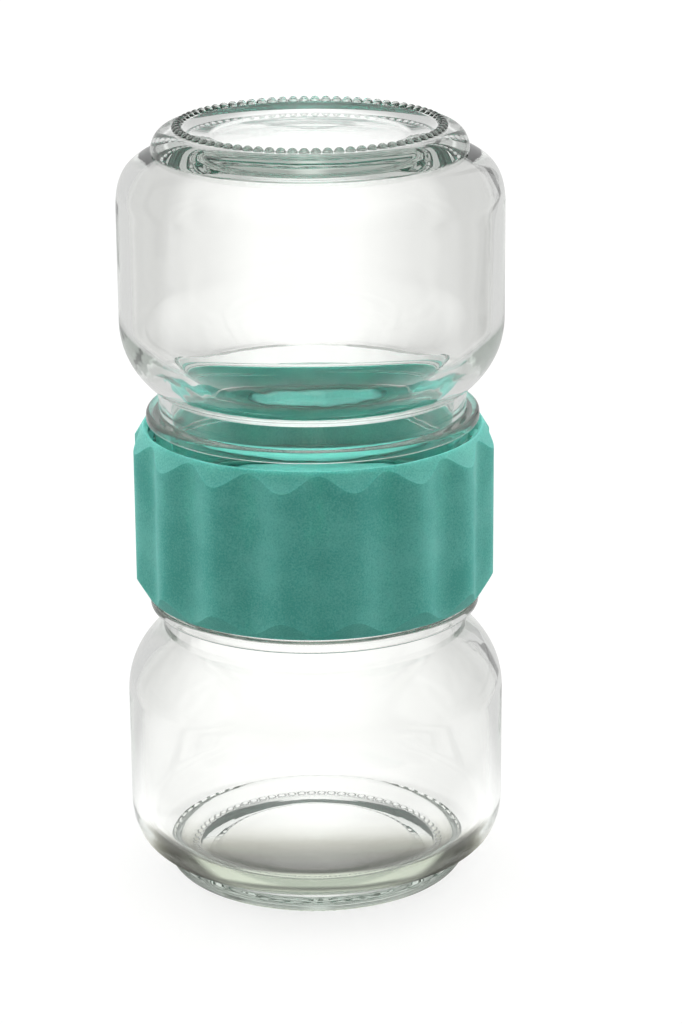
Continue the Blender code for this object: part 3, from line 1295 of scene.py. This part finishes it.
    def floor(self) -> None:
        """Lay the white floor, which keeps the object's shadow."""
        start_fresh()
        bpy.ops.mesh.primitive_plane_add(size=self.floor_size, location=(0.0, 0.0, 0.0))
        floor = bpy.context.object
        floor.name = floor.data.name = "floor"
        made, tree, place = blank_material("white_paper_sweep")
        path = add_node(tree, "LightPath").outputs
        beyond = self.seen_through(tree, path)
        # Seen through glass, the floor glows with a painted pool of light and one painted dark
        # strip.
        through = {0: self.pool(tree, place, self.distance), 1: beyond}
        through = add_node(tree, "Math", through, operation="MULTIPLY").outputs[0]
        lit = {0: path["Is Camera Ray"], 1: self.floor_bounce}
        lit = add_node(tree, "Math", lit, operation="MAXIMUM").outputs[0]
        total = add_node(tree, "Math", {0: lit, 1: through}, operation="MAXIMUM").outputs[0]
        own = self.floor_share.over(tree, beyond)
        own_light = {0: own, 1: self.floor_own_light}
        own_light = add_node(tree, "Math", own_light, operation="MULTIPLY").outputs[0]
        fill = add_node(tree, "Math", {0: total, 1: own_light}, operation="SUBTRACT").outputs[0]
        fill = add_node(tree, "Math", {0: fill, 1: 0.0}, operation="MAXIMUM").outputs[0]
        # The colour that glass shows of the floor holds the painted shade under and in front of
        # the base.
        tones = {0: beyond, 6: (1.0, 1.0, 1.0, 1.0), 7: self.under(tree, place)}
        tone = add_node(tree, "Mix", tones, data_type="RGBA").outputs[2]
        glow = add_node(tree, "Emission", {"Color": tone, "Strength": fill}).outputs[0]
        albedos = {0: own, 6: (0.0, 0.0, 0.0, 1.0), 7: linear(self.floor_albedo)}
        albedo = add_node(tree, "Mix", albedos, data_type="RGBA").outputs[2]
        paper = add_node(tree, "BsdfDiffuse", {"Color": albedo}).outputs[0]
        both = add_node(tree, "AddShader", {0: paper, 1: glow}).outputs[0]
        add_node(tree, "OutputMaterial", {"Surface": both})
        floor.data.materials.append(made)

    def surroundings(self) -> None:
        """Light the scene with a bright back and top and a dimmer front."""
        world = bpy.data.worlds.new("studio")
        world.use_nodes = True
        bpy.context.scene.world = world
        tree = world.node_tree
        tree.nodes.clear()
        way = add_node(tree, "TexCoord").outputs["Generated"]
        axes = add_node(tree, "SeparateXYZ", {0: way}).outputs
        path = add_node(tree, "LightPath").outputs
        light = {
            0: self.light_back.over(tree, axes["Y"]),
            1: self.light_top.over(tree, axes["Z"]),
        }
        plain = {
            0: add_node(tree, "Math", light, operation="MAXIMUM").outputs[0],
            1: self.gathered.over(tree, path["Is Transmission Ray"]),
        }
        back = {0: self.shown_back.over(tree, axes["Y"]), 1: self.pool(tree, way, 0.0)}
        shown = {
            0: add_node(tree, "Math", back, operation="MULTIPLY").outputs[0],
            1: self.shown_top.over(tree, axes["Z"]),
        }
        either = {
            0: self.seen_through(tree, path),
            2: add_node(tree, "Math", plain, operation="MULTIPLY").outputs[0],
            3: add_node(tree, "Math", shown, operation="MAXIMUM").outputs[0],
        }
        mixed = add_node(tree, "Mix", either, data_type="FLOAT").outputs[0]
        strength = {0: mixed, 1: path["Is Camera Ray"]}
        strength = add_node(tree, "Math", strength, operation="MAXIMUM").outputs[0]
        white = {"Color": (1.0, 1.0, 1.0, 1.0), "Strength": strength}
        sky = add_node(tree, "Background", white).outputs[0]
        add_node(tree, "OutputWorld", {"Surface": sky})

    def build(self) -> None:
        """Set up the floor, the light and the camera."""
        self.floor()
        self.surroundings()
        self.camera()
        scene = bpy.context.scene
        scene.view_settings.view_transform = "Standard"
        scene.cycles.max_bounces = self.bounces
        scene.cycles.transmission_bounces = self.bounces
        scene.cycles.glossy_bounces = self.bounces


def main() -> None:
    logging.basicConfig(level=logging.INFO, format="%(message)s")
    coupler = Coupler()
    pairs: list[tuple[Callable[[], bpy.types.Object], str, str, str]] = [
        (Jar().build, "jar", "glass_jar", "glass"),
        (Seal().build, "seal", "seal_ring", "seal_rubber"),
    ]
    for build, part, piece, slot in pairs:
        lower = build()
        upper = second_one(lower, coupler.middle)
        settle(lower, f"lower_{piece}", f"lower_{part}")
        settle(upper, f"upper_{piece}", f"upper_{part}")
    settle(coupler.build(), "coupler_grip", "coupler")
    Studio().build()


if __name__ == "__main__":
    main()
